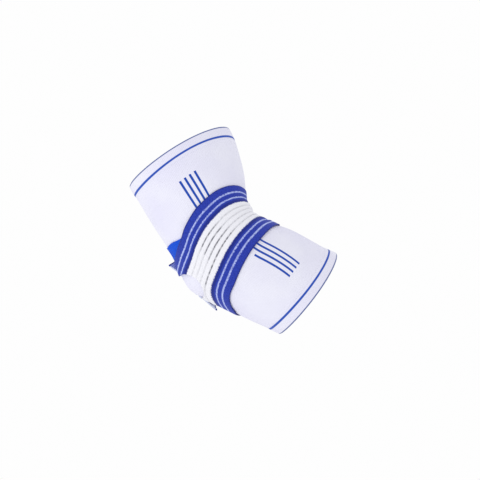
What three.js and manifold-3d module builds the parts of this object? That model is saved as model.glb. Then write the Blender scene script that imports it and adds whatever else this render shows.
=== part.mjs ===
// Elbow brace: a bent knitted tube, with a turned hem at each end, and a
// ribbed elastic strap wrapped round the bend and closed behind it on a hook tab.
// Millimetres, +Z up. The origin is the bend's centre, where the upper half's and the lower half's
// centre lines meet. The upper half's line runs up +Z, the tube bends towards +X in the plane
// Y = 0, and the side with the strap's first end faces -Y.
// An angle is measured round the tube from the inside of the bend: 0 is the front (+X), -90 the
// -Y side, 180 the back, where the point of the bend is.

import * as THREE from "three";
import { mergeVertices } from "three/addons/utils/BufferGeometryUtils.js";
import Module from "manifold-3d";

// The tube's line
const BEND = 39.4; // degrees
const BEND_RADIUS = 52; // of the centre line through the bend
const UPPER_REACH = 99.5; // from the bend's centre to the upper rim
const FOREARM_REACH = 77.2; // from the bend's centre to the lower rim
const UPPER_RIM_SLANT = 3; // how much further the rim stands out at the front than at the side
const FOREARM_RIM_SLANT = 7.6;

// Girths, as radii of the knitted tube's outer face
const UPPER_RADIUS = 51;
const ELBOW_RADIUS = 43.5;
const FOREARM_RADIUS = 43;
const POINT_HEIGHT = 7.5; // how far the point of the bend stands out of the tube
const POINT_LENGTH = 13; // along the tube
const POINT_SPREAD = 30; // round the tube, degrees
const POINT_SHIFT = -2; // from the middle of the bend, towards the upper half

// Cloth
const WALL = 1.8; // single knit
const HEM = 12.5; // length of the turned hem at each end
const HEM_THICKNESS = 2.6; // the knit turned double
const GAP = 0.5; // left between pieces that lie on each other
const SEAM_GAP = 0.3; // left between the tube and its hems

// Strap
const WEBBING = 1.5; // thickness of its plain edge bands
const RIB = 1.9; // thickness of the ribbed middle
const GROOVE = 1.1; // thickness left between two ribs
const SELVEDGE = 0.8; // thickness at its two edges
const SELVEDGE_SHARE = 0.012; // how far in it is full thickness, as a share of its width
const BAND_SHARE = 0.27; // width of each edge band, as a share of the strap's width
const RIBS = 5;
const GROOVE_HALF_SHARE = 0.008; // half a groove's width, as a share of the strap's width
const FIRST_END = -216; // degrees, beyond the back on the hidden side
const CLOSING_END = 150; // degrees, laid over the first end
const CLOSING_REACH = 40; // degrees over which the closing end springs clear and narrows
const CLOSING_DROP = 11; // how much lower its upper edge lies than the first end's
const CLOSING_LIFT = { upper: 7.5, middle: 1, lower: 3 }; // of its cut end, above the tube
const CLOSING_DIP = { from: 0.15, to: 0.85 }; // where it dips, as shares of its width
const BRIDGE = 0.8; // how far it stands off the fold on the inside of the bend
const BRIDGE_SPREAD = 40; // degrees
const CLIMB = 18; // degrees over which the strap climbs on to what lies under it
const CLIMB_MARGIN = 3; // degrees before what lies under it at which it has climbed

// Round notch in the strap's first end, which the point of the bend fills
const NOTCH_HEIGHT = 26; // along the tube
const NOTCH_SHIFT = -4.5; // along the surface from the middle of the bend
const NOTCH_ROUND_FROM = -186; // degrees, where its straight sides end
const NOTCH_TIP = -160;

// Hook tab, which lies between the tube and the strap
const TAB = 1.1; // thickness
const TAB_TOP_SHARE = -0.69; // its straight upper edge from mid bend, as a share of STRAP_WIDTH
const TAB_FOOT_SHARE = 0.27; // its lower edge, as a share of the strap's width from its edge
const TAB_STEP = { from: 0.04, to: 0.24 }; // below its foot, where the strap comes down off it
const TAB_FROM = -150; // degrees
const TAB_TO = -250;

// Facets
const STEPS_ROUND = 40;
const STEPS_UPPER = 8; // along the upper half
const STEPS_BEND = 10;
const STEPS_FOREARM = 7;
const STEPS_BAND = 4; // across each edge band of the strap
const STEPS_TAB = 6; // across the hook tab
const STEPS_NOTCH = 8;
const SAME_POINT = 1e-4; // points nearer than this are one

const SIDE = -90; // degrees, the side that faces -Y
const rad = THREE.MathUtils.degToRad;
const bend = rad(BEND);
const halfBend = (BEND_RADIUS * bend) / 2;
const bendStart = BEND_RADIUS * Math.tan(bend / 2);
const upperRun = UPPER_REACH - bendStart + halfBend; // from mid bend, along the centre line
const forearmRun = FOREARM_REACH - bendStart + halfBend;

// Sections of the tube. at: share of that end's run from mid bend. The other columns are shares
// of the radius in the row: front and back in the plane of the bend, side across it.
const SECTIONS = [
  { at: -0.9, radius: UPPER_RADIUS, front: 0.99, back: 1.01, side: 0.98 },
  { at: -0.61, radius: UPPER_RADIUS, front: 0.87, back: 0.97, side: 0.93 },
  { at: -0.385, radius: ELBOW_RADIUS, front: 0.815, back: 1.02, side: 0.99 },
  { at: -0.25, radius: ELBOW_RADIUS, front: 0.765, back: 0.99, side: 0.98 },
  { at: -0.12, radius: ELBOW_RADIUS, front: 0.785, back: 0.99, side: 0.98 },
  { at: 0.02, radius: ELBOW_RADIUS, front: 0.85, back: 1.01, side: 1.0 },
  { at: 0.21, radius: ELBOW_RADIUS, front: 0.94, back: 1.01, side: 1.01 },
  { at: 0.5, radius: FOREARM_RADIUS, front: 1.0, back: 1.01, side: 1.01 },
  { at: 0.95, radius: FOREARM_RADIUS, front: 0.99, back: 1.0, side: 1.0 },
];

// The strap's two edges, along the surface from mid bend, as shares of STRAP_WIDTH, on both sides
// of the tube. crowd: how far its ribs crowd towards the upper edge, in the fold of the bend.
const STRAP_WIDTH = 65;
const STRAP_ROUTE = [
  { angle: 0, upper: -0.42, lower: 0.22, crowd: 0.87 },
  { angle: 35, upper: -0.475, lower: 0.18, crowd: 0.87 },
  { angle: 68, upper: -0.645, lower: 0.12, crowd: 0.5 },
  { angle: 90, upper: -0.75, lower: 0.125, crowd: 0.25 },
  { angle: 110, upper: -0.785, lower: 0.165, crowd: 0 },
  { angle: 124, upper: -0.785, lower: 0.225, crowd: 0 },
  { angle: 135, upper: -0.755, lower: 0.265, crowd: 0 },
  { angle: 154, upper: -0.64, lower: 0.35, crowd: 0 },
  { angle: 171, upper: -0.565, lower: 0.48, crowd: 0 },
  { angle: 180, upper: -0.54, lower: 0.53, crowd: 0 },
];

// The value in one column of a table, on a smooth curve through its rows
function along(table, key, column, x) {
  const value = (i) => table[THREE.MathUtils.clamp(i, 0, table.length - 1)];
  let i = 0;
  while (i < table.length - 2 && table[i + 1][key] < x) i++;
  const [a, b, c, d] = [value(i - 1), value(i), value(i + 1), value(i + 2)];
  const span = c[key] - b[key];
  const slope = (p, q) => (q[key] > p[key] ? (q[column] - p[column]) / (q[key] - p[key]) : 0);
  const t = THREE.MathUtils.clamp((x - b[key]) / span, 0, 1);
  const [t2, t3] = [t * t, t * t * t];
  return (
    (2 * t3 - 3 * t2 + 1) * b[column] +
    (t3 - 2 * t2 + t) * span * slope(a, c) +
    (3 * t2 - 2 * t3) * c[column] +
    (t3 - t2) * span * slope(b, d)
  );
}

// The sections as radii, at their places along the centre line
const tube = SECTIONS.map(({ at, radius, front, back, side }) => ({
  s: at * (at < 0 ? upperRun : forearmRun),
  front: front * radius,
  back: back * radius,
  side: side * radius,
}));

// Centre line at s from mid bend, below 0 up the tube: its place and how far it has turned
function centreLine(s) {
  const turn = THREE.MathUtils.clamp((s + halfBend) / BEND_RADIUS, 0, bend);
  const beyond = Math.max(s - halfBend, 0);
  const before = Math.min(s + halfBend, 0);
  return {
    turn,
    x: BEND_RADIUS * (1 - Math.cos(turn)) + beyond * Math.sin(bend),
    z: bendStart - BEND_RADIUS * Math.sin(turn) - before - beyond * Math.cos(bend),
  };
}

function tubeRadius(s, angle) {
  const [c, n] = [Math.cos(rad(angle)), Math.sin(rad(angle))];
  const depth = along(tube, "s", c > 0 ? "front" : "back", s);
  const round = 1 / Math.hypot(c / depth, n / along(tube, "s", "side", s));
  const fromBack = THREE.MathUtils.euclideanModulo(angle, 360) - 180;
  const bump = Math.exp(
    -(((s - POINT_SHIFT) / POINT_LENGTH) ** 2) - (fromBack / POINT_SPREAD) ** 2,
  );
  return round + POINT_HEIGHT * bump;
}

// A point at s and angle, lift above the tube's outer face
function armPoint(s, angle, lift) {
  const { turn, x, z } = centreLine(s);
  const r = tubeRadius(s, angle) + lift;
  const forward = r * Math.cos(rad(angle));
  return new THREE.Vector3(
    x + forward * Math.cos(turn),
    r * Math.sin(rad(angle)),
    z + forward * Math.sin(turn),
  );
}

// The bend shortens the surface at the front and lengthens it at the back: s for a length
function stationAt(length, angle) {
  const stretch = 1 - (ELBOW_RADIUS * Math.cos(rad(angle))) / BEND_RADIUS;
  const inBend = halfBend * stretch;
  const beyond = Math.max(Math.abs(length) - inBend, 0);
  return Math.sign(length) * (Math.min(Math.abs(length), inBend) / stretch + beyond);
}

const upperRim = (angle) => -upperRun - UPPER_RIM_SLANT * Math.cos(rad(angle));
const forearmRim = (angle) => forearmRun + FOREARM_RIM_SLANT * Math.cos(rad(angle));

// A solid swept round the tube. section(angle) gives its outline there: the outer face from its
// upper edge down, then the inner face back up. Unless closed, the two ends get a face each, a
// ladder between the outer and the inner face, which then have as many points.
function sweep(angles, section, closed) {
  const rings = angles.map(section);
  const count = rings[0].length;
  const faces = [];
  const quad = (a, b, c, d) => faces.push(a, b, c, a, c, d);
  for (let i = 0; i < rings.length - (closed ? 0 : 1); i++) {
    const [here, next] = [i * count, ((i + 1) % rings.length) * count];
    for (let j = 0; j < count; j++) {
      const k = (j + 1) % count;
      quad(here + j, here + k, next + k, next + j);
    }
  }
  for (let j = 0; j < count / 2 - 1 && !closed; j++) {
    const last = (rings.length - 1) * count;
    const [inner, innerNext] = [count - 1 - j, count - 2 - j];
    quad(j, inner, innerNext, j + 1);
    quad(last + j, last + j + 1, last + innerNext, last + inner);
  }
  const geometry = new THREE.BufferGeometry().setFromPoints(rings.flat());
  geometry.setIndex(faces);
  return geometry;
}

const steps = (from, to, count) =>
  Array.from({ length: count + 1 }, (_, i) => from + ((to - from) * i) / count);

const wholeTurn = steps(0, 360, STEPS_ROUND).slice(0, -1);

// Angles from one end of an open sweep to the other, on the same steps as the tube's
function partTurn(from, to) {
  const step = 360 / STEPS_ROUND;
  const first = Math.ceil(from / step + 0.2);
  const last = Math.floor(to / step - 0.2);
  return [from, ...steps(first * step, last * step, last - first), to];
}

// The tube: outer face from one hem to the other, then back along the inner face
function sleeveSection(angle) {
  const from = upperRim(angle) + HEM + SEAM_GAP;
  const to = forearmRim(angle) - HEM - SEAM_GAP;
  const stations = [
    ...steps(from, -halfBend, STEPS_UPPER),
    ...steps(-halfBend, halfBend, STEPS_BEND).slice(1, -1),
    ...steps(halfBend, to, STEPS_FOREARM),
  ];
  return [
    ...stations.map((s) => armPoint(s, angle, 0)),
    ...stations.reverse().map((s) => armPoint(s, angle, -WALL)),
  ];
}

// A hem's outline: in, from the rim towards the bend, as a share of HEM; lift, as a share of
// its thickness, above the tube's inner face
const HEM_OUTLINE = [
  { in: 0, lift: 0.75 },
  { in: 0.06, lift: 1 },
  { in: 0.5, lift: 1 },
  { in: 0.92, lift: 1 },
  { in: 1, lift: 0.7 },
  { in: 1, lift: 0 },
  { in: 0.5, lift: 0 },
  { in: 0.06, lift: 0 },
  { in: 0, lift: 0.25 },
];

const hemSection = (rim, inward) => (angle) => {
  const points = HEM_OUTLINE.map((row) =>
    armPoint(rim(angle) + inward * row.in * HEM, angle, row.lift * HEM_THICKNESS - WALL),
  );
  return inward > 0 ? points : points.reverse();
};

const ramp = (x, from, to) => THREE.MathUtils.smoothstep(x, from, to);
const closing = (angle) => ramp(angle, CLOSING_END - CLOSING_REACH, CLOSING_END);

// Length along the surface at a share of the strap's width, 0 at its upper edge
function strapLength(share, angle) {
  const fromFront = 180 - Math.abs(THREE.MathUtils.euclideanModulo(angle, 360) - 180);
  const edge = (column) => along(STRAP_ROUTE, "angle", column, fromFront) * STRAP_WIDTH;
  const upper = edge("upper") + closing(angle) * CLOSING_DROP;
  const crowd = along(STRAP_ROUTE, "angle", "crowd", fromFront);
  return upper + (edge("lower") - upper) * (share - crowd * share * share * (1 - share));
}

// How far the closing end's inner face stands above the tube: least over the first end's notch
function closingLift(share) {
  const { upper, middle, lower } = CLOSING_LIFT;
  const straight = THREE.MathUtils.lerp(upper, lower, share);
  const into = (share - CLOSING_DIP.from) / (CLOSING_DIP.to - CLOSING_DIP.from);
  const dip = Math.sin(Math.PI * THREE.MathUtils.clamp(into, 0, 1)) ** 2;
  return straight - dip * ((upper + lower) / 2 - middle);
}

// How far the strap's inner face lies above the tube: over the tab, the fold, its own first end
function strapLift(share, angle) {
  const leaves = TAB_FROM + CLIMB_MARGIN;
  const offTab = ramp(angle, leaves, leaves + CLIMB);
  const onTab = ramp(angle, TAB_TO + 360 - CLIMB_MARGIN - CLIMB, TAB_TO + 360 - CLIMB_MARGIN);
  const besideTab = ramp(share - TAB_FOOT_SHARE, TAB_STEP.from, TAB_STEP.to);
  const overTab = Math.max(1 - offTab, onTab) * (1 - besideTab) * (TAB + GAP);
  const overFold = BRIDGE * Math.exp(-((angle / BRIDGE_SPREAD) ** 2));
  const laid = GAP + overTab + overFold;
  return THREE.MathUtils.lerp(laid, closingLift(share), closing(angle));
}

// The strap's outer face across its width: a share of the width, and the thickness there
function strapProfile() {
  const band = steps(SELVEDGE_SHARE, BAND_SHARE, STEPS_BAND);
  const ribWidth = (1 - 2 * BAND_SHARE) / RIBS;
  const rows = [[0, SELVEDGE], ...band.map((share) => [share, WEBBING])];
  for (let i = 0; i < RIBS; i++) {
    const [from, to] = [BAND_SHARE + i * ribWidth, BAND_SHARE + (i + 1) * ribWidth];
    if (i > 0) rows.push([from, GROOVE]);
    rows.push([from + GROOVE_HALF_SHARE, RIB], [to - GROOVE_HALF_SHARE, RIB]);
  }
  rows.push(...band.reverse().map((share) => [1 - share, WEBBING]), [1, SELVEDGE]);
  return rows.map(([share, thickness]) => ({ share, thickness }));
}

const profile = strapProfile();

function strapSection(angle) {
  const point = (share, height) =>
    armPoint(stationAt(strapLength(share, angle), angle), angle, strapLift(share, angle) + height);
  return [
    ...profile.map(({ share, thickness }) => point(share, thickness)),
    ...profile.map(({ share }) => point(share, 0)).reverse(),
  ];
}

// The section of a strip between two lengths along the surface and two lifts above the tube
function stripSection(angle, top, foot, low, high, count) {
  const lengths = steps(top, foot, count);
  const point = (length, lift) => armPoint(stationAt(length, angle), angle, lift);
  return [
    ...lengths.map((length) => point(length, high)),
    ...lengths.map((length) => point(length, low)).reverse(),
  ];
}

function tabGeometry() {
  const foot = (angle) => strapLength(TAB_FOOT_SHARE, angle);
  const section = (angle) =>
    stripSection(angle, TAB_TOP_SHARE * STRAP_WIDTH, foot(angle), GAP, GAP + TAB, STEPS_TAB);
  return sweep(partTurn(TAB_TO, TAB_FROM), section, false);
}

// What the notch takes out of the strap's first end
function notchGeometry() {
  const quarter = steps(0, Math.PI / 2, STEPS_NOTCH).slice(0, -1);
  const round = quarter.map((turn) => ({
    angle: THREE.MathUtils.lerp(NOTCH_ROUND_FROM, NOTCH_TIP, Math.sin(turn)),
    half: (Math.cos(turn) * NOTCH_HEIGHT) / 2,
  }));
  const straight = partTurn(FIRST_END - CLIMB_MARGIN, NOTCH_ROUND_FROM).slice(0, -1);
  const rows = [...straight.map((angle) => ({ angle, half: NOTCH_HEIGHT / 2 })), ...round];
  const section = ({ angle, half }) =>
    stripSection(
      angle,
      NOTCH_SHIFT - half,
      NOTCH_SHIFT + half,
      -WALL,
      GAP + TAB + GAP + RIB + WALL,
      STEPS_NOTCH,
    );
  return sweep(rows, section, false);
}

const wasm = await Module();
wasm.setup();

function solidOf(geometry) {
  const merged = mergeVertices(geometry, SAME_POINT);
  return new wasm.Manifold(
    new wasm.Mesh({
      numProp: 3,
      vertProperties: new Float32Array(merged.attributes.position.array),
      triVerts: new Uint32Array(merged.index.array),
    }),
  );
}

function geometryOf(solid) {
  const mesh = solid.getMesh();
  const geometry = new THREE.BufferGeometry();
  geometry.setAttribute("position", new THREE.BufferAttribute(mesh.vertProperties, 3));
  geometry.setIndex(new THREE.BufferAttribute(mesh.triVerts, 1));
  return geometry;
}

// The first end is notched before the rest is joined to it, where the strap is nearest the eye
function strapGeometry() {
  const firstEnd = solidOf(sweep(partTurn(FIRST_END, SIDE), strapSection, false));
  const rest = solidOf(sweep(partTurn(SIDE, CLOSING_END), strapSection, false));
  return geometryOf(firstEnd.subtract(solidOf(notchGeometry())).add(rest));
}

const knit = new THREE.MeshStandardMaterial({ color: 0xe8e8f3, roughness: 0.9 });
const hemKnit = new THREE.MeshStandardMaterial({ color: 0xecedf6, roughness: 0.9 });
const webbing = new THREE.MeshStandardMaterial({ color: 0x2f42a4, roughness: 0.8 });
const hookTape = new THREE.MeshStandardMaterial({ color: 0x1b5fd6, roughness: 0.7 });

const brace = new THREE.Group();

function add(name, geometry, material) {
  geometry.computeVertexNormals();
  const mesh = new THREE.Mesh(geometry, material);
  mesh.name = name;
  brace.add(mesh);
}

add("sleeve", sweep(wholeTurn, sleeveSection, true), knit);
add("upper_hem", sweep(wholeTurn, hemSection(upperRim, 1), true), hemKnit);
add("forearm_hem", sweep(wholeTurn, hemSection(forearmRim, -1), true), hemKnit);
add("hook_tab", tabGeometry(), hookTape);
add("strap", strapGeometry(), webbing);

export default brace;
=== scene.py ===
import math

import bmesh
import bpy
from mathutils import Matrix, Vector, noise


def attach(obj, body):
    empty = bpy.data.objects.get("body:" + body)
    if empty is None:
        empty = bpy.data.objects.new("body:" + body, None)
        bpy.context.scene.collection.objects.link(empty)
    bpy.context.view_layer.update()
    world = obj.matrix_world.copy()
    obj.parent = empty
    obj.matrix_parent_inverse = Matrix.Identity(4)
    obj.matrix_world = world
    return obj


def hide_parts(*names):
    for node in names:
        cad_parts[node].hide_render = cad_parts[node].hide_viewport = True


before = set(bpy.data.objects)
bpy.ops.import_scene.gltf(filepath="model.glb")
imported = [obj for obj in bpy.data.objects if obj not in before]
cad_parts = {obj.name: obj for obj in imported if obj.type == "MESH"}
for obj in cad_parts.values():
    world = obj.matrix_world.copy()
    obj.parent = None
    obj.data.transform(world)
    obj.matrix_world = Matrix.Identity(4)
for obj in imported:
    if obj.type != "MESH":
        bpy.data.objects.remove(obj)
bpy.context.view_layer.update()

# Sleeve
# A tube of white elastic polyamide, about 1.8 mm thick, knitted in the round, so it has no seam.
# It keeps its worn form: it widens towards the top, folds inside the bend and stands out in a
# point behind it. Blue yarn is knitted in as two sets of four lines that run out of the strap.
MM = 0.001
BEND = math.radians(39.4)
BEND_RADIUS = 52
UPPER_REACH = 99.5
FOREARM_REACH = 77.2
UPPER_RIM_SLANT = 3
FOREARM_RIM_SLANT = 7.6
RIM_BULGE = 1.8
UPPER_RADIUS = 51
ELBOW_RADIUS = 43.5
FOREARM_RADIUS = 43
POINT = {"s": -3, "upwards": 10, "downwards": 8, "angle": 180, "spread": 30, "height": 6.6}
WALL = 1.8
HEM = 12.5
UNDER_HEM = 0.8  # mm that the sleeve runs in under its hems
TUCK = 0.45  # mm that it lies deeper there
UNEVEN = {"height": 0.25, "per_metre": 45}
SEAM = -270  # degrees, where the sheet of faces closes on itself
FACES_ROUND = 252
FACES_ALONG = 150

half_bend = BEND_RADIUS * BEND / 2
bend_start = BEND_RADIUS * math.tan(BEND / 2)
upper_run = UPPER_REACH - bend_start + half_bend
forearm_run = FOREARM_REACH - bend_start + half_bend


def rows_of(columns, *rows):
    return [dict(zip(columns, row)) for row in rows]


# at: share of that end's run from mid bend; the others are shares of the row's radius
SECTIONS = rows_of(
    ("at", "radius", "front", "back", "side"),
    (-0.9, UPPER_RADIUS, 1.01, 1.005, 0.98),
    (-0.61, UPPER_RADIUS, 0.87, 0.968, 0.93),
    (-0.385, ELBOW_RADIUS, 0.815, 1.09, 0.99),
    (-0.25, ELBOW_RADIUS, 0.765, 1.045, 0.98),
    (-0.12, ELBOW_RADIUS, 0.785, 1.025, 0.98),
    (0.02, ELBOW_RADIUS, 0.85, 1.028, 1.0),
    (0.21, ELBOW_RADIUS, 0.94, 0.993, 1.01),
    (0.5, FOREARM_RADIUS, 1.03, 1.022, 1.01),
    (0.95, FOREARM_RADIUS, 1.0, 1.0, 1.0),
)
tube = [
    {
        "s": row["at"] * (upper_run if row["at"] < 0 else forearm_run),
        **{side: row[side] * row["radius"] for side in ("front", "back", "side")},
    }
    for row in SECTIONS
]

# Where the strap presses the sleeve in, and how deep
PRESSES = rows_of(
    ("s", "upwards", "downwards", "angle", "spread", "depth"),
    (-36.5, 6.7, 10.5, 0, 60, 2.6),
    (-23, 1.8, 1.8, 0, 60, 2.4),
    (23, 4, 4, 0, 60, 0.4),
)


def smooth(x, start, end):
    t = min(max((x - start) / (end - start), 0), 1)
    return t * t * (3 - 2 * t)


def along(table, key, column, x):
    """The value in one column of a table, on a smooth curve through its rows."""
    i = 0
    while i < len(table) - 2 and table[i + 1][key] < x:
        i += 1
    a, b, c, d = (table[min(max(k, 0), len(table) - 1)] for k in (i - 1, i, i + 1, i + 2))
    span = c[key] - b[key]
    into = (c[column] - a[column]) / (c[key] - a[key])
    out = (d[column] - b[column]) / (d[key] - b[key])
    t = min(max((x - b[key]) / span, 0), 1)
    return (
        (2 * t**3 - 3 * t**2 + 1) * b[column]
        + (t**3 - 2 * t**2 + t) * span * into
        + (3 * t**2 - 2 * t**3) * c[column]
        + (t**3 - t**2) * span * out
    )


def mound(place, s, angle):
    """1 at a place on the tube, falling away smoothly to 0 all round it."""
    off = (s - place["s"]) / place["upwards" if s < place["s"] else "downwards"]
    aside = ((angle - place["angle"] + 180) % 360 - 180) / place["spread"]
    return math.exp(-(off**2) - aside**2)


def tube_point(s, angle, lift):
    """A point lift millimetres above the sleeve, s along the tube's line and angle round it."""
    turn = min(max((s + half_bend) / BEND_RADIUS, 0), BEND)
    beyond = max(s - half_bend, 0)
    before = min(s + half_bend, 0)
    x = BEND_RADIUS * (1 - math.cos(turn)) + beyond * math.sin(BEND)
    z = bend_start - BEND_RADIUS * math.sin(turn) - before - beyond * math.cos(BEND)
    c, n = math.cos(math.radians(angle)), math.sin(math.radians(angle))
    depth = along(tube, "s", "front" if c > 0 else "back", s)
    girth = 1 / math.hypot(c / depth, n / along(tube, "s", "side", s))
    pressed = sum(press["depth"] * mound(press, s, angle) for press in PRESSES)
    r = girth + POINT["height"] * mound(POINT, s, angle) - pressed + lift
    return Vector((x + r * c * math.cos(turn), r * n, z + r * c * math.sin(turn))) * MM


def round_tube(u):
    """The angle at a share of the way round."""
    return SEAM + 360 * u


def from_rim(angle, run, slant):
    """A rim's run, which slants from front to back and bulges at the tube's sides."""
    a = math.radians(angle)
    return run + slant * math.cos(a) + RIM_BULGE * math.sin(a) ** 2


def upper_rim(angle):
    return -from_rim(angle, upper_run, UPPER_RIM_SLANT)


def forearm_rim(angle):
    return from_rim(angle, forearm_run, FOREARM_RIM_SLANT)


def cloth(name, columns, rows, place, chart, closed=False):
    """A sheet of quads. place(u, v) gives each point and chart(u, v) its place in the flat cloth."""
    mesh = bpy.data.meshes.new(name)
    bm = bmesh.new()
    bmesh.ops.create_grid(bm, x_segments=columns, y_segments=rows, size=0.5)
    layer = bm.loops.layers.uv.new("cloth")
    for face in bm.faces:
        face.smooth = True
        for loop in face.loops:
            loop[layer].uv = chart(loop.vert.co.x + 0.5, loop.vert.co.y + 0.5)
    for vert in bm.verts:
        vert.co = place(vert.co.x + 0.5, vert.co.y + 0.5)
    if closed:
        bmesh.ops.remove_doubles(bm, verts=bm.verts, dist=0.01 * MM)
    bmesh.ops.recalc_face_normals(bm, faces=bm.faces)
    bm.to_mesh(mesh)
    bm.free()
    piece = bpy.data.objects.new(name, mesh)
    bpy.context.scene.collection.objects.link(piece)
    return piece


def thicken(piece, thickness):
    """Gives a sheet its wall, inwards from the face that was modelled."""
    wall = piece.modifiers.new("wall", "SOLIDIFY")
    wall.thickness = thickness * MM
    wall.offset = -1


def colour(code):
    """An sRGB hex colour as the linear one that Blender's sockets take."""
    channels = [int(code[i : i + 2], 16) / 255 for i in (1, 3, 5)]
    return [c / 12.92 if c <= 0.04045 else ((c + 0.055) / 1.055) ** 2.4 for c in channels] + [1]


def node(tree, kind, inputs=None, output=0, stops=(), **settings):
    """Adds a node with its settings and links, and returns one output. stops are a ramp's."""
    made = tree.nodes.new(kind)
    for key, value in settings.items():
        setattr(made, key, value)
    for key, value in (inputs or {}).items():
        if isinstance(value, bpy.types.NodeSocket):
            tree.links.new(value, made.inputs[key])
        else:
            made.inputs[key].default_value = value
    for i, (place, shade) in enumerate(stops):
        elements = made.color_ramp.elements
        if i == 0:
            elements.remove(elements[1])
            elements[0].position = place
        element = elements.new(place) if i else elements[0]
        element.color = colour(shade) if isinstance(shade, str) else (shade, shade, shade, 1)
    return made.outputs[output] if len(made.outputs) else made


def bands(starts, soft):
    """Stops of a colour ramp with soft joins, from where each band of colour starts."""
    stops = [starts[0]]
    for place, shade in starts[1:]:
        stops += [(place - soft, stops[-1][1]), (place + soft, shade)]
    return stops


WALES = 210  # ribs of stitches round the sleeve, about 1.3 mm each
COURSE = 1.1  # mm from one row of stitches to the next
STRIPE = 1.9  # mm wide
LEAN_RUN = 40  # mm
# Angle of the first line and degrees to the next. Below "under" the lines lean away.
# The ends are given for the first line, with the step from each line to the next.
STRIPE_SETS = rows_of(
    ("first", "pitch", "under", "lean", "power", "start", "start_step", "end", "end_step"),
    (-123.0, 6.05, -70.4, 3.3, 1.0, -70.4, -0.7, -20.0, 0.0),
    (-99.8, 6.6, 10.0, -5.0, 3.0, 12.1, -9.0, 47.1, 1.17),
)


def stitches(tree, wales, length):
    """Height of a knit: ribs of V-shaped stitches, counted in wales, along a length in mm."""
    across = node(tree, "ShaderNodeMath", {0: wales}, operation="FRACT")
    across = node(tree, "ShaderNodeMath", {0: across, 1: 0.5}, operation="SUBTRACT")
    across = node(tree, "ShaderNodeMath", {0: across}, operation="ABSOLUTE")
    row = node(tree, "ShaderNodeMath", {0: length, 1: 1 / COURSE}, operation="MULTIPLY")
    row = node(tree, "ShaderNodeMath", {0: across, 1: 0.9, 2: row}, operation="MULTIPLY_ADD")
    row = node(tree, "ShaderNodeMath", {0: row, 1: 2 * math.pi}, operation="MULTIPLY")
    row = node(tree, "ShaderNodeMath", {0: row}, operation="SINE")
    rib = node(tree, "ShaderNodeMath", {0: across, 1: 2 * math.pi}, operation="MULTIPLY")
    rib = node(tree, "ShaderNodeMath", {0: rib}, operation="COSINE")
    return node(tree, "ShaderNodeMath", {0: row, 1: 0.35, 2: rib}, operation="MULTIPLY_ADD")


def knit_material(name, dye):
    """White elastic knit: matt, a little fuzzy, with fine ribs. dye(...) colours its yarn."""
    material = bpy.data.materials.new(name)
    material.use_nodes = True
    tree = material.node_tree
    tree.nodes.clear()
    flat = node(tree, "ShaderNodeUVMap", uv_map="cloth")
    turns = node(tree, "ShaderNodeSeparateXYZ", {0: flat})
    length = turns.node.outputs[1]
    length = node(tree, "ShaderNodeMath", {0: length, 1: 1 / MM}, operation="MULTIPLY")
    wales = node(tree, "ShaderNodeMath", {0: turns, 1: WALES}, operation="MULTIPLY")
    height = stitches(tree, wales, length)
    place = node(tree, "ShaderNodeTexCoord", output=3)
    # Fibres stand out in tufts about 0.4 mm apart
    fuzz = node(tree, "ShaderNodeTexNoise", {"Vector": place, "Scale": 2600, "Detail": 1})
    yarn = dye(tree, turns, length, fuzz)
    # Uneven stretch shows as faint clouds, about 45 mm apart
    cloud = node(tree, "ShaderNodeTexNoise", {"Vector": place, "Scale": 22, "Detail": 2})
    tint = node(
        tree, "ShaderNodeValToRGB", {0: cloud}, stops=[(0.35, "#FFFFFF"), (0.65, "#F7F6FC")]
    )
    yarn = node(
        tree, "ShaderNodeMix", {0: 1.0, 6: yarn, 7: tint}, 2, data_type="RGBA", blend_type="MULTIPLY"
    )
    # The valleys between the ribs hold a little shadow
    depth = node(tree, "ShaderNodeMapRange", {0: height, 1: -1.35, 2: 0.4, 3: 0.92, 4: 1.0})
    yarn = node(
        tree, "ShaderNodeMix", {0: 1.0, 6: yarn, 7: depth}, 2, data_type="RGBA", blend_type="MULTIPLY"
    )
    rough = node(tree, "ShaderNodeMath", {0: fuzz, 1: 0.15, 2: height}, operation="MULTIPLY_ADD")
    bump = node(tree, "ShaderNodeBump", {"Height": rough, "Strength": 0.3, "Distance": 0.2 * MM})
    surface = node(
        tree,
        "ShaderNodeBsdfPrincipled",
        {
            "Base Color": yarn,
            "Normal": bump,
            "Roughness": 0.92,
            "IOR": 1.45,
            "Specular IOR Level": 0.25,
            "Sheen Weight": 0.12,
            "Sheen Roughness": 0.5,
        },
    )
    node(tree, "ShaderNodeOutputMaterial", {"Surface": surface})
    return material


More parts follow.
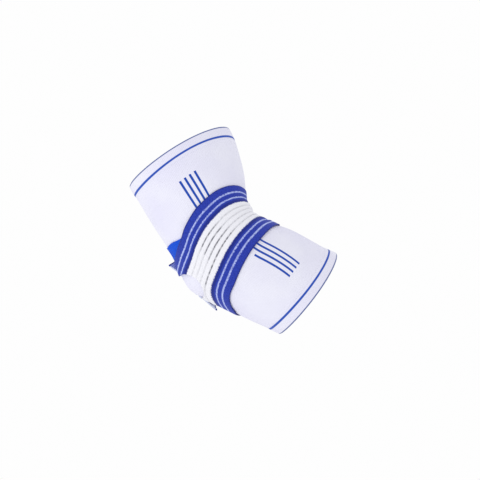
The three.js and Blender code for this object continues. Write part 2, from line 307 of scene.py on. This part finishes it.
def striped(tree, turns, length, fuzz):
    """White yarn with the two sets of four blue lines."""
    yarn = colour("#EFEFF9")
    angle = node(tree, "ShaderNodeMath", {0: turns, 1: 360, 2: SEAM}, operation="MULTIPLY_ADD")
    for stripes in STRIPE_SETS:
        under = stripes["under"]
        lean = node(
            tree, "ShaderNodeMapRange", {0: length, 1: under, 2: under + LEAN_RUN, 3: 0, 4: 1}
        )
        lean = node(tree, "ShaderNodeMath", {0: lean, 1: stripes["power"]}, operation="POWER")
        upright = node(
            tree, "ShaderNodeMath", {0: lean, 1: -stripes["lean"], 2: angle}, operation="MULTIPLY_ADD"
        )
        place = node(
            tree,
            "ShaderNodeMath",
            {0: upright, 1: 1 / stripes["pitch"], 2: -stripes["first"] / stripes["pitch"]},
            operation="MULTIPLY_ADD",
        )
        count = node(tree, "ShaderNodeMath", {0: place}, operation="ROUND")
        off = node(tree, "ShaderNodeMath", {0: place, 1: count}, operation="SUBTRACT")
        off = node(tree, "ShaderNodeMath", {0: off}, operation="ABSOLUTE")
        off = node(tree, "ShaderNodeMath", {0: fuzz, 1: 0.06, 2: off}, operation="MULTIPLY_ADD")
        half = STRIPE / 2 / (math.radians(stripes["pitch"]) * ELBOW_RADIUS) + 0.03
        line = node(tree, "ShaderNodeValToRGB", {0: off}, stops=bands([(0, 1), (half, 0)], 0.03))
        from_start = node(
            tree,
            "ShaderNodeMath",
            {0: count, 1: -stripes["start_step"], 2: length},
            operation="MULTIPLY_ADD",
        )
        from_end = node(
            tree,
            "ShaderNodeMath",
            {0: count, 1: -stripes["end_step"], 2: length},
            operation="MULTIPLY_ADD",
        )
        for value, test, limit in (
            (count, "GREATER_THAN", -0.5),
            (count, "LESS_THAN", 3.5),
            (from_start, "GREATER_THAN", stripes["start"]),
            (from_end, "LESS_THAN", stripes["end"]),
        ):
            inside = node(tree, "ShaderNodeMath", {0: value, 1: limit}, operation=test)
            line = node(tree, "ShaderNodeMath", {0: line, 1: inside}, operation="MULTIPLY")
        yarn = node(
            tree, "ShaderNodeMix", {0: line, 6: yarn, 7: colour("#1E4CB0")}, 2, data_type="RGBA"
        )
    return yarn


def sleeve_s(u, v):
    angle = round_tube(u)
    start = upper_rim(angle) + HEM - UNDER_HEM
    return start + (forearm_rim(angle) - HEM + UNDER_HEM - start) * v


def sleeve_place(u, v):
    angle = round_tube(u)
    s = sleeve_s(u, v)
    from_edge = min(s - sleeve_s(u, 0), sleeve_s(u, 1) - s)
    uneven = UNEVEN["height"] * noise.noise(tube_point(s, angle, 0) * UNEVEN["per_metre"])
    free = smooth(from_edge, 0, UNDER_HEM * 2)
    return tube_point(s, angle, uneven * free - TUCK * (1 - free))


def sleeve_chart(u, v):
    return u, sleeve_s(u, v) * MM


sleeve = cloth("knitted_sleeve", FACES_ROUND, FACES_ALONG, sleeve_place, sleeve_chart, closed=True)
thicken(sleeve, WALL)
sleeve.data.materials.append(knit_material("ribbed elastic knit", striped))
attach(sleeve, "root")
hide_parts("sleeve")

# Hems
# The sleeve's own knit turned back on itself at each end, 12.5 mm deep, with a round fold at the
# rim, and stitched down, which draws its inner edge in. A thick blue line is knitted in above the
# stitching and a thin one along the rim.
HEM_FACES = 52  # from the rim round to the rim again
RIPPLE = {"height": 0.12, "waves": 6}
HEM_LINE = 9.0  # mm from the rim to the thick line in the flat cloth
UPPER_LINE = {"mean": 9.6, "front": 0.7, "ends": 1.3}
FOREARM_LINE = {"mean": 9.2, "front": -1.3, "ends": 0.3}
# in: share of the hem's depth from the rim; lift: mm above the sleeve
HEM_OUTLINE = rows_of(
    ("at", "in", "lift"),
    (0.0, 0.0, -0.65),
    (0.05, 0.02, 0.05),
    (0.12, 0.1, 0.45),
    (0.22, 0.35, 0.42),
    (0.34, 0.7, 0.25),
    (0.43, 0.93, 0.05),
    (0.47, 0.985, -0.25),
    (0.51, 1.0, -0.9),
    (0.56, 0.96, -1.7),
    (0.7, 0.5, -1.8),
    (0.88, 0.1, -1.75),
    (0.95, 0.02, -1.35),
    (1.0, 0.0, -0.65),
)


def hem(name, rim, inward, line, solid):
    def inset(v):
        return along(HEM_OUTLINE, "at", "in", v if inward > 0 else 1 - v) * HEM

    def place(u, v):
        angle = round_tube(u)
        lift = along(HEM_OUTLINE, "at", "lift", v if inward > 0 else 1 - v)
        round_rim = Vector((math.cos(2 * math.pi * u), math.sin(2 * math.pi * u), inward))
        ripple = RIPPLE["height"] * noise.noise(round_rim * RIPPLE["waves"])
        return tube_point(rim(angle) + inward * inset(v), angle, lift + ripple)

    def chart(u, v):
        a = math.radians(round_tube(u))
        there = line["mean"] + line["front"] * math.cos(a) + line["ends"] * math.cos(2 * a)
        return u, inset(v) * HEM_LINE / there * MM

    piece = cloth(name, FACES_ROUND, HEM_FACES, place, chart, closed=True)
    piece.data.materials.append(hem_knit)
    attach(piece, "root")
    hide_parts(solid)
    return piece


def lined(tree, turns, length, fuzz):
    """White yarn with a thin grey-blue line at the rim and a thick blue one further in."""
    share = node(tree, "ShaderNodeMath", {0: length, 1: 1 / HEM}, operation="MULTIPLY")
    share = node(tree, "ShaderNodeMath", {0: fuzz, 1: 0.02, 2: share}, operation="MULTIPLY_ADD")
    thick = HEM_LINE / HEM
    lines = [
        (0.0, "#5F6FA3"),
        (0.115, "#EFEFF9"),
        (thick - 0.065, "#2B55B8"),
        (thick + 0.085, "#EFEFF9"),
    ]
    return node(tree, "ShaderNodeValToRGB", {0: share}, stops=bands(lines, 0.015))


hem_knit = knit_material("turned hem knit", lined)
upper_hem = hem("knitted_upper_hem", upper_rim, 1, UPPER_LINE, "upper_hem")
forearm_hem = hem("knitted_forearm_hem", forearm_rim, -1, FOREARM_LINE, "forearm_hem")

# Hook tab
# A tongue of bright blue hook tape, 1.1 mm thick, sewn on behind the bend between the sleeve and
# the strap. Only its upper corner shows. The strap's ends are pressed on its hooks.
TAB = 1.1
TAB_LIFT = 0.2
TAB_TOP = -45.2
TAB_SLOPE = {"drop": 3.4, "from": -176, "to": -152}
TAB_FOOT = -20
TAB_FROM = -150
TAB_TO = -250
TAB_FACES = (110, 34)
TAB_CUT = (0.076, 0.025)  # metres, as cut from flat tape


def station_at(length, angle):
    """s for a length along the surface, which the bend shortens in front and stretches behind."""
    stretch = 1 - ELBOW_RADIUS * math.cos(math.radians(angle)) / BEND_RADIUS
    in_bend = half_bend * stretch
    s = min(abs(length), in_bend) / stretch + max(abs(length) - in_bend, 0)
    return math.copysign(s, length)


def tab_place(u, v):
    angle = TAB_TO + (TAB_FROM - TAB_TO) * u
    top = TAB_TOP + TAB_SLOPE["drop"] * smooth(angle, TAB_SLOPE["from"], TAB_SLOPE["to"])
    length = top + (TAB_FOOT - top) * v
    return tube_point(station_at(length, angle), angle, TAB_LIFT + TAB)


def tab_chart(u, v):
    return u * TAB_CUT[0], v * TAB_CUT[1]


tab = cloth("hook_tape_tab", *TAB_FACES, tab_place, tab_chart)
thicken(tab, TAB)
# Brushed hook tape: bright blue, with a short upright nap, 0.7 mm apart, that breaks up the light
hook_tape = bpy.data.materials.new("brushed hook tape")
hook_tape.use_nodes = True
tree = hook_tape.node_tree
tree.nodes.clear()
place = node(tree, "ShaderNodeTexCoord", output=3)
nap = node(tree, "ShaderNodeTexNoise", {"Vector": place, "Scale": 1400, "Detail": 2})
shade = node(tree, "ShaderNodeValToRGB", {0: nap}, stops=[(0.3, "#0A46C4"), (0.7, "#1259DC")])
bump = node(tree, "ShaderNodeBump", {"Height": nap, "Strength": 0.6, "Distance": 0.4 * MM})
surface = node(
    tree,
    "ShaderNodeBsdfPrincipled",
    {"Base Color": shade, "Normal": bump, "Roughness": 0.8, "Specular IOR Level": 0.2},
)
node(tree, "ShaderNodeOutputMaterial", {"Surface": surface})
tab.data.materials.append(hook_tape)
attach(tab, "root")
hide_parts("hook_tab")

# Strap
# Elastic webbing 65 mm wide, woven with a blue border along each edge, two white lines in each
# border and five padded white ribs between. It starts beside the sleeve's point with a round notch,
# runs over the near side, bunches in the fold, goes round the far side and ends on its own start.
STRAP_WIDTH = 65
BORDER = 0.283  # share of the width
RIBS = 5
WEBBING = 1.5
RIB = 1.9
GROOVE = 1.0
GROOVE_HALF = 0.13  # share of a rib's width
SELVEDGE_THINNED = 0.6  # mm thinner at the very edge
SELVEDGE_FADE = 0.5  # mm over which that fades out
GROOVE_CLOSED = 0.7  # share of a groove's depth that is gone where the webbing is slack
STRAP_WALL = 1.3
STRAP_LIFT = 0.25
FIRST_END = -216
CLOSING_END = 150
GIRTH_RADIUS = 46
# The strap's edges in shares of its width from mid bend, and where its borders end between them
STRAP_ROUTE = rows_of(
    ("angle", "upper", "lower", "upper_border", "lower_border"),
    (-216, -0.36, 0.70, 0.283, 0.717),
    (-203, -0.42, 0.64, 0.295, 0.717),
    (-189, -0.475, 0.60, 0.305, 0.717),
    (-176, -0.52, 0.495, 0.315, 0.717),
    (-165, -0.58, 0.41, 0.33, 0.717),
    (-154, -0.633, 0.345, 0.325, 0.717),
    (-140, -0.725, 0.293, 0.303, 0.717),
    (-125, -0.785, 0.228, 0.288, 0.715),
    (-110, -0.795, 0.175, 0.283, 0.705),
    (-95, -0.778, 0.138, 0.283, 0.698),
    (-80, -0.72, 0.128, 0.291, 0.68),
    (-64, -0.628, 0.126, 0.30, 0.66),
    (-48, -0.53, 0.145, 0.29, 0.64),
    (-30, -0.455, 0.18, 0.24, 0.63),
    (0, -0.42, 0.215, 0.22, 0.61),
    (35, -0.475, 0.18, 0.24, 0.63),
    (68, -0.645, 0.12, 0.275, 0.68),
    (90, -0.75, 0.125, 0.283, 0.71),
    (105, -0.71, 0.15, 0.283, 0.717),
    (120, -0.60, 0.20, 0.283, 0.717),
    (134, -0.505, 0.26, 0.283, 0.717),
    (150, -0.49, 0.37, 0.283, 0.717),
)
FOLD = {"s": -9, "upwards": 10, "downwards": 19, "angle": 0, "spread": 60, "height": 5.2}
CREASE = {"height": 0.9, "spread": 48, "degrees": 24, "rows": 11, "seed": 3}
CLOSING_REACH = 16
# How far the free end stands off along its cut edge
CUT_EDGE = rows_of(
    ("share", "lift"),
    (0, 8.0),
    (0.1, 5.0),
    (0.2, 2.2),
    (0.35, 1.2),
    (0.6, 1.2),
    (0.74, 2.2),
    (0.86, 3.8),
    (1, 5.4),
)
TAB_CLIMB = 18  # degrees over which the strap climbs on the tab
TAB_INSIDE = 3  # degrees inside the tab's ends, where the climb begins
STRAP_FACES = (340, 100)
NOTCH = {"height": 27, "middle": -5.5, "round_from": -186, "tip": -162}


def strap_route(angle):
    return {key: along(STRAP_ROUTE, "angle", key, angle) for key in STRAP_ROUTE[0] if key != "angle"}


def between(x, places, values):
    """The value at x on straight lines between the places."""
    i = 0 if x < places[1] else 1 if x < places[2] else 2
    t = (x - places[i]) / (places[i + 1] - places[i])
    return values[i] + (values[i + 1] - values[i]) * t


def relief(share, slack):
    """Thickness across the strap: flat borders and round ribs, whose grooves close when slack."""
    edge = min(share, 1 - share)
    if edge < BORDER:
        return WEBBING - SELVEDGE_THINNED * math.exp(-edge * STRAP_WIDTH / SELVEDGE_FADE)
    rib = (share - BORDER) / (1 - 2 * BORDER) * RIBS
    from_groove = min(rib % 1, 1 - rib % 1)
    if round(rib) in (0, RIBS):
        from_groove = max(from_groove, 0.3)
    depth = (RIB - GROOVE) * (1 - GROOVE_CLOSED * slack)
    return RIB - depth * math.exp(-((from_groove / GROOVE_HALF) ** 2))


def strap_point(share, angle):
    route = strap_route(angle)
    shares = (0, BORDER, 1 - BORDER, 1)
    down = between(share, shares, (0, route["upper_border"], route["lower_border"], 1))
    length = (route["upper"] + (route["lower"] - route["upper"]) * down) * STRAP_WIDTH
    s = station_at(length, angle)
    tab_end = TAB_TO + 360 - TAB_INSIDE
    on_tab = max(
        1 - smooth(angle, TAB_FROM + TAB_INSIDE, TAB_FROM + TAB_INSIDE + TAB_CLIMB),
        smooth(angle, tab_end - TAB_CLIMB, tab_end),
    )
    on_tab *= 1 - smooth(length, TAB_FOOT + 1, TAB_FOOT + 9)
    lift = STRAP_LIFT + on_tab * TAB + FOLD["height"] * mound(FOLD, s, angle)
    slack = math.exp(-((angle / CREASE["spread"]) ** 2))
    crease = Vector((angle / CREASE["degrees"], down * CREASE["rows"], CREASE["seed"]))
    lift += CREASE["height"] * slack * noise.noise(crease)
    closing = smooth(angle, CLOSING_END - CLOSING_REACH, CLOSING_END)
    lift += (along(CUT_EDGE, "share", "lift", share) - lift) * closing
    return tube_point(s, angle, lift + relief(share, slack))


def notch_edges(angle):
    """The shares of the strap's width between which the notch is open."""
    reach = (angle - NOTCH["round_from"]) / (NOTCH["tip"] - NOTCH["round_from"])
    half = NOTCH["height"] / 2 * math.sqrt(max(1 - max(reach, 0) ** 2, 0))
    route = strap_route(angle)
    edges = []
    for length in (NOTCH["middle"] - half, NOTCH["middle"] + half):
        down = (length / STRAP_WIDTH - route["upper"]) / (route["lower"] - route["upper"])
        borders = (0, route["upper_border"], route["lower_border"], 1)
        edges.append(between(down, borders, (0, BORDER, 1 - BORDER, 1)))
    return edges


def strap_angle(u):
    """Closer steps round the notch's tip than along the rest."""
    tip, fine = NOTCH["tip"], 0.2
    if u < fine:
        return FIRST_END + (tip - FIRST_END) * math.sin(math.pi / 2 * u / fine)
    return tip + (CLOSING_END - tip) * (u - fine) / (1 - fine)


def strap_share(u, v):
    """v, held at the notch's edge where the notch has taken the cloth away."""
    angle = strap_angle(u)
    if angle > NOTCH["tip"]:
        return v
    edges = notch_edges(angle)
    return min(v, edges[0]) if v < sum(edges) / 2 else max(v, edges[1])


def strap_place(u, v):
    return strap_point(strap_share(u, v), strap_angle(u))


def strap_chart(u, v):
    return strap_share(u, v), math.radians(strap_angle(u) - FIRST_END) * GIRTH_RADIUS * MM


strap = cloth("elastic_wrap_strap", *STRAP_FACES, strap_place, strap_chart)
bm = bmesh.new()
bm.from_mesh(strap.data)
layer = bm.loops.layers.uv["cloth"]
in_notch = []
for face in bm.faces:
    shares = [loop[layer].uv.x for loop in face.loops]
    run = max(loop[layer].uv.y for loop in face.loops)
    angle = FIRST_END + math.degrees(run / GIRTH_RADIUS / MM)
    if angle < NOTCH["tip"] + 0.1 and min(shares) < sum(notch_edges(angle)) / 2 < max(shares):
        in_notch.append(face)
bmesh.ops.delete(bm, geom=in_notch, context="FACES")
bmesh.ops.remove_doubles(bm, verts=bm.verts, dist=0.01 * MM)
bmesh.ops.dissolve_degenerate(bm, edges=bm.edges, dist=0.01 * MM)
bmesh.ops.recalc_face_normals(bm, faces=bm.faces)
bm.to_mesh(strap.data)
bm.free()
thicken(strap, STRAP_WALL)


def at(angle):
    """An angle round the tube as a share of the strap's run."""
    return (angle - FIRST_END) / (CLOSING_END - FIRST_END)


# Woven elastic webbing: matt, with a speckled weave and coloured warp threads along its length
BLUE, EDGE_BLUE, LINE_BLUE, WHITE = "#2A3FAE", "#1F2F8E", "#BCC9FA", "#F3F3F6"
# The cut end's pale blue, partly its own colour and partly painted light
PALE_AND_LIT_CUT_BLUE = "#D2D8EE"
webbing = bpy.data.materials.new("woven elastic webbing")
webbing.use_nodes = True
tree = webbing.node_tree
tree.nodes.clear()
flat = node(tree, "ShaderNodeUVMap", uv_map="cloth")
across = node(tree, "ShaderNodeSeparateXYZ", {0: flat})
length = across.node.outputs[1]
run = math.radians(CLOSING_END - FIRST_END) * GIRTH_RADIUS * MM
turn = node(tree, "ShaderNodeMath", {0: length, 1: 1 / run}, operation="MULTIPLY")
in_mm = (STRAP_WIDTH, 1 / MM, 1)
flat_mm = node(tree, "ShaderNodeVectorMath", {0: flat, 1: in_mm}, operation="MULTIPLY")
grain = node(tree, "ShaderNodeVectorMath", {0: flat_mm, 1: (1.2, 0.7, 1)}, operation="MULTIPLY")
speckle = node(tree, "ShaderNodeTexNoise", {"Vector": grain, "Scale": 1, "Detail": 1})
ragged = node(tree, "ShaderNodeMapRange", {0: speckle, 1: 0.3, 2: 0.7, 3: -0.005, 4: 0.005})
mirrored = node(tree, "ShaderNodeMath", {0: across, 1: 0.5}, operation="SUBTRACT")
mirrored = node(tree, "ShaderNodeMath", {0: mirrored}, operation="ABSOLUTE")
mirrored = node(tree, "ShaderNodeMath", {0: 0.5, 1: mirrored}, operation="SUBTRACT")
mirrored = node(tree, "ShaderNodeMath", {0: mirrored, 1: ragged}, operation="ADD")
ground = node(
    tree,
    "ShaderNodeValToRGB",
    {0: mirrored},
    stops=bands(
        [(0.0, EDGE_BLUE), (0.015, BLUE), (0.235, EDGE_BLUE), (BORDER - 0.003, WHITE)], 0.006
    ),
)
lines = node(
    tree,
    "ShaderNodeValToRGB",
    {0: mirrored},
    stops=bands([(0.0, 0), (0.101, 1), (0.124, 0), (0.187, 1), (0.207, 0)], 0.004),
)
# The cut end is sewn over and pale, but for the border's edge. Its colour is also painted lighter
# than that, as painted light that lifts the shade on its underside, which faces the arm
PALE_FROM = 143  # degrees
pale_and_lit_cut_end = node(tree, "ShaderNodeMath", {0: turn, 1: at(PALE_FROM)}, operation="GREATER_THAN")
inside = node(tree, "ShaderNodeMath", {0: mirrored, 1: 0.03}, operation="GREATER_THAN")
pale_and_lit_cut_end = node(tree, "ShaderNodeMath", {0: pale_and_lit_cut_end, 1: inside}, operation="MULTIPLY")
# The white threads of the lines dive under the blue ones where the strap is stretched
threads = node(tree, "ShaderNodeVectorMath", {0: flat_mm, 1: (0.25, 0.42, 1)}, operation="MULTIPLY")
stitch = node(tree, "ShaderNodeTexNoise", {"Vector": threads, "Scale": 1, "Detail": 2})
stretched = node(
    tree,
    "ShaderNodeValToRGB",
    {0: turn},
    stops=[
        (at(-175), 0.0),
        (at(-150), 0.2),
        (at(-125), 0.35),
        (at(-95), 0.3),
        (at(-75), 0.25),
        (at(-55), 0.05),
        (at(60), 0.1),
        (at(120), 0.3),
    ],
)
shown = node(tree, "ShaderNodeMath", {0: stitch, 1: stretched}, operation="SUBTRACT")
shown = node(tree, "ShaderNodeMapRange", {0: shown, 1: -0.1, 2: 0.25, 3: 0.35, 4: 1.0})
lines = node(tree, "ShaderNodeMath", {0: lines, 1: shown}, operation="MULTIPLY")
yarn = node(
    tree, "ShaderNodeMix", {0: lines, 6: ground, 7: colour(LINE_BLUE)}, 2, data_type="RGBA"
)
# Painted shade darkens the grooves between the ribs, most where the strap is stretched over the near
# side
pitch = RIBS / (1 - 2 * BORDER)
place = node(
    tree, "ShaderNodeMath", {0: across, 1: pitch, 2: -BORDER * pitch}, operation="MULTIPLY_ADD"
)
nearest = node(tree, "ShaderNodeMath", {0: place}, operation="ROUND")
off = node(tree, "ShaderNodeMath", {0: place, 1: nearest}, operation="SUBTRACT")
off = node(tree, "ShaderNodeMath", {0: off}, operation="ABSOLUTE")
painted_groove_shade = node(tree, "ShaderNodeValToRGB", {0: off}, stops=bands([(0, 1), (0.12, 0)], 0.04))
for limit, test in ((0.5, "GREATER_THAN"), (RIBS - 0.5, "LESS_THAN")):
    inner = node(tree, "ShaderNodeMath", {0: nearest, 1: limit}, operation=test)
    painted_groove_shade = node(tree, "ShaderNodeMath", {0: painted_groove_shade, 1: inner}, operation="MULTIPLY")
# Only the last groove stays open as far as the notch. All close towards the fold, the first soonest
last = node(tree, "ShaderNodeMath", {0: nearest, 1: RIBS - 1.5}, operation="GREATER_THAN")
from_notch = node(tree, "ShaderNodeMath", {0: last, 1: 0.063, 2: turn}, operation="MULTIPLY_ADD")
opened = node(
    tree,
    "ShaderNodeValToRGB",
    {0: from_notch},
    stops=[(at(-150), 0.16), (at(-140), 0.2), (at(-135), 0.75)],
)
to_fold = node(tree, "ShaderNodeMath", {0: nearest, 1: -0.013, 2: turn}, operation="MULTIPLY_ADD")
closed = node(
    tree,
    "ShaderNodeValToRGB",
    {0: to_fold},
    stops=[
        (at(-120), 1.0),
        (at(-112), 0.3),
        (at(-76), 0.3),
        (at(-60), 0.07),
        (at(35), 0.07),
        (at(95), 0.8),
        (at(125), 0.27),
    ],
)
opened = node(tree, "ShaderNodeMath", {0: opened, 1: closed}, operation="MULTIPLY")
# The painted groove shade is broken into dashes along the stitches
dashes = node(tree, "ShaderNodeMapRange", {0: stitch, 1: 0.35, 2: 0.6, 3: 0.45, 4: 1.15})
opened = node(tree, "ShaderNodeMath", {0: opened, 1: dashes}, operation="MULTIPLY")
painted_groove_shade = node(tree, "ShaderNodeMath", {0: painted_groove_shade, 1: opened}, operation="MULTIPLY", use_clamp=True)
# Mixes the painted groove shade, a dark grey, into the yarn
yarn = node(
    tree, "ShaderNodeMix", {0: painted_groove_shade, 6: yarn, 7: colour("#55555F")}, 2, data_type="RGBA"
)
tint = node(
    tree, "ShaderNodeValToRGB", {0: speckle}, stops=[(0.32, "#B4B6CC"), (0.6, "#FFFFFF")]
)
heather = node(
    tree, "ShaderNodeValToRGB", {0: mirrored}, stops=bands([(0.0, 0.8), (BORDER, 0.15)], 0.01)
)
yarn = node(
    tree, "ShaderNodeMix", {0: heather, 6: yarn, 7: tint}, 2, data_type="RGBA", blend_type="MULTIPLY"
)
# Paints the cut end pale: its own pale colour, with painted light over the shade on its underside
yarn = node(
    tree, "ShaderNodeMix", {0: pale_and_lit_cut_end, 6: yarn, 7: colour(PALE_AND_LIT_CUT_BLUE)}, 2, data_type="RGBA"
)
THREAD = 0.8  # mm apart each way
weave = (2 * math.pi / THREAD,) * 3
weave = node(tree, "ShaderNodeVectorMath", {0: flat_mm, 1: weave}, operation="MULTIPLY")
weave = node(tree, "ShaderNodeVectorMath", {0: weave}, operation="SINE")
warp = node(tree, "ShaderNodeSeparateXYZ", {0: weave})
weave = node(tree, "ShaderNodeMath", {0: warp, 1: warp.node.outputs[1]}, operation="MULTIPLY")
weave = node(tree, "ShaderNodeMath", {0: speckle, 1: 1.5, 2: weave}, operation="MULTIPLY_ADD")
bump = node(tree, "ShaderNodeBump", {"Height": weave, "Strength": 0.25, "Distance": 0.12 * MM})
surface = node(
    tree,
    "ShaderNodeBsdfPrincipled",
    {
        "Base Color": yarn,
        "Normal": bump,
        "Roughness": 0.85,
        "IOR": 1.45,
        "Specular IOR Level": 0.3,
        "Sheen Weight": 0.08,
    },
)
node(tree, "ShaderNodeOutputMaterial", {"Surface": surface})
strap.data.materials.append(webbing)
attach(strap, "root")
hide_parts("strap")

# Stage
# A plain pale floor well below the brace, soft white light all round it, a large soft lamp from
# the side of the sleeve's point, and the camera where the photograph was taken from.
FLOOR_DEPTH = 0.6
FLOOR_RADIUS = 1.5
bm = bmesh.new()
bmesh.ops.create_circle(bm, cap_ends=True, segments=96, radius=FLOOR_RADIUS)
bmesh.ops.translate(bm, verts=bm.verts, vec=(0, 0, -FLOOR_DEPTH))
floor_mesh = bpy.data.meshes.new("floor")
bm.to_mesh(floor_mesh)
bm.free()
floor = bpy.data.objects.new("floor", floor_mesh)
bpy.context.scene.collection.objects.link(floor)
floor_paint = bpy.data.materials.new("pale matt floor")
floor_paint.use_nodes = True
tree = floor_paint.node_tree
tree.nodes.clear()
surface = node(
    tree, "ShaderNodeBsdfPrincipled", {"Base Color": colour("#F4F4F4"), "Roughness": 0.9}
)
node(tree, "ShaderNodeOutputMaterial", {"Surface": surface})
floor_mesh.materials.append(floor_paint)

scene = bpy.context.scene
world = bpy.data.worlds.new("white studio")
scene.world = world
world.use_nodes = True
tree = world.node_tree
tree.nodes.clear()
seen = node(tree, "ShaderNodeBackground", {"Color": colour("#FFFFFF"), "Strength": 0.99})
light = node(tree, "ShaderNodeBackground", {"Color": colour("#FBFBFF"), "Strength": 0.97})
camera_ray = node(tree, "ShaderNodeLightPath")
mixed = node(tree, "ShaderNodeMixShader", {0: camera_ray, 1: light, 2: seen})
node(tree, "ShaderNodeOutputWorld", {"Surface": mixed})
scene.view_settings.view_transform = "Standard"

AZIMUTH = math.radians(-23.1)
ELEVATION = math.radians(-8.0)
ROLL = math.radians(-27.8)
DISTANCE = 1.18
AIM = {"right": 0.00814, "up": 0.01407}
back = Vector(
    (
        math.sin(AZIMUTH) * math.cos(ELEVATION),
        -math.cos(AZIMUTH) * math.cos(ELEVATION),
        math.sin(ELEVATION),
    )
)
level = Vector((math.cos(AZIMUTH), math.sin(AZIMUTH), 0))
right = math.cos(ROLL) * level + math.sin(ROLL) * back.cross(level)
up = back.cross(right)
camera = bpy.data.objects.new("camera", bpy.data.cameras.new("camera"))
camera.data.lens = 100
camera.data.sensor_width = 36
turned = Matrix((right, up, back)).transposed().to_4x4()
camera_place = back * DISTANCE + right * AIM["right"] + up * AIM["up"]
camera.matrix_world = Matrix.Translation(camera_place) @ turned
scene.collection.objects.link(camera)
scene.camera = camera

lamp = bpy.data.objects.new("soft lamp", bpy.data.lights.new("soft lamp", "AREA"))
lamp.data.shape = "DISK"
lamp.data.size = 1.0
lamp.data.energy = 3
lamp_place = back * 0.9 - right * 0.9 - up * 0.5
facing = lamp_place.to_track_quat("Z", "Y").to_matrix().to_4x4()
lamp.matrix_world = Matrix.Translation(lamp_place) @ facing
scene.collection.objects.link(lamp)
